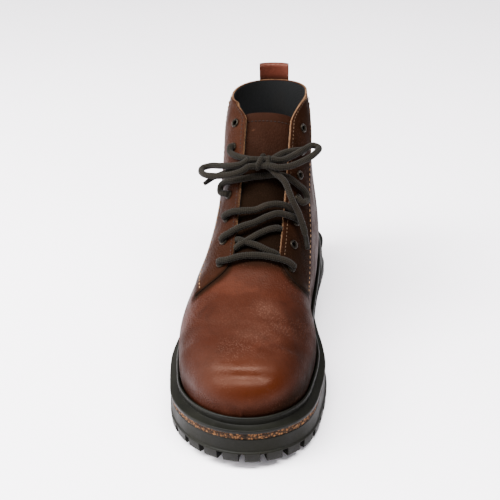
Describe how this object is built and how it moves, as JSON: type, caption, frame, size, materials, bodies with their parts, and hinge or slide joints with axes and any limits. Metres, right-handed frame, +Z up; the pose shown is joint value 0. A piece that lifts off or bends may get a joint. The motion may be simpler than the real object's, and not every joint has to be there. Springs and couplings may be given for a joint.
{
  "type": "lace-up boot",
  "caption": "Right lace-up ankle boot of brown leather on a lugged rubber sole, with a tied lace and a pull loop at the heel.",
  "frame": {"origin": "on the floor, under the middle of the boot's box", "axes": "+Z up, -Y towards the toe, +X towards the inner (medial) side of this right boot"},
  "size_m": [0.1193, 0.304, 0.1895],
  "materials": {
    "brown_leather": "worn, waxed, soft gloss",
    "black_rubber": "matte",
    "cork": "speckled cork and rubber, matte",
    "black_lining": "matte cloth",
    "aged_brass": "darkened, worn",
    "black_lace": "woven round cord"
  },
  "bodies": {
    "root": {"upper": "brown_leather", "eyestay_medial": "brown_leather", "eyestay_lateral": "brown_leather", "tongue": "brown_leather", "pull_loop": "brown_leather", "outsole": "black_rubber", "welt": "black_rubber", "cork_midsole": "cork", "insole": "black_lining", "eyelet_m1": "aged_brass", "eyelet_m2": "aged_brass", "eyelet_m3": "aged_brass", "eyelet_m4": "aged_brass", "eyelet_m5": "aged_brass", "eyelet_m6": "aged_brass", "eyelet_m7": "aged_brass", "eyelet_l1": "aged_brass", "eyelet_l2": "aged_brass", "eyelet_l3": "aged_brass", "eyelet_l4": "aged_brass", "eyelet_l5": "aged_brass", "eyelet_l6": "aged_brass", "eyelet_l7": "aged_brass", "lace_bar": "black_lace", "lace_cross": "black_lace", "lace_over_low": "black_lace", "lace_over_high": "black_lace", "lace_slack": "black_lace", "lace_lead_lateral": "black_lace", "lace_lead_medial": "black_lace", "lace_knot": "black_lace", "lace_loop_lateral": "black_lace", "lace_loop_medial": "black_lace", "lace_end_lateral": "black_lace", "lace_end_medial": "black_lace"}
  },
  "joints": []
}
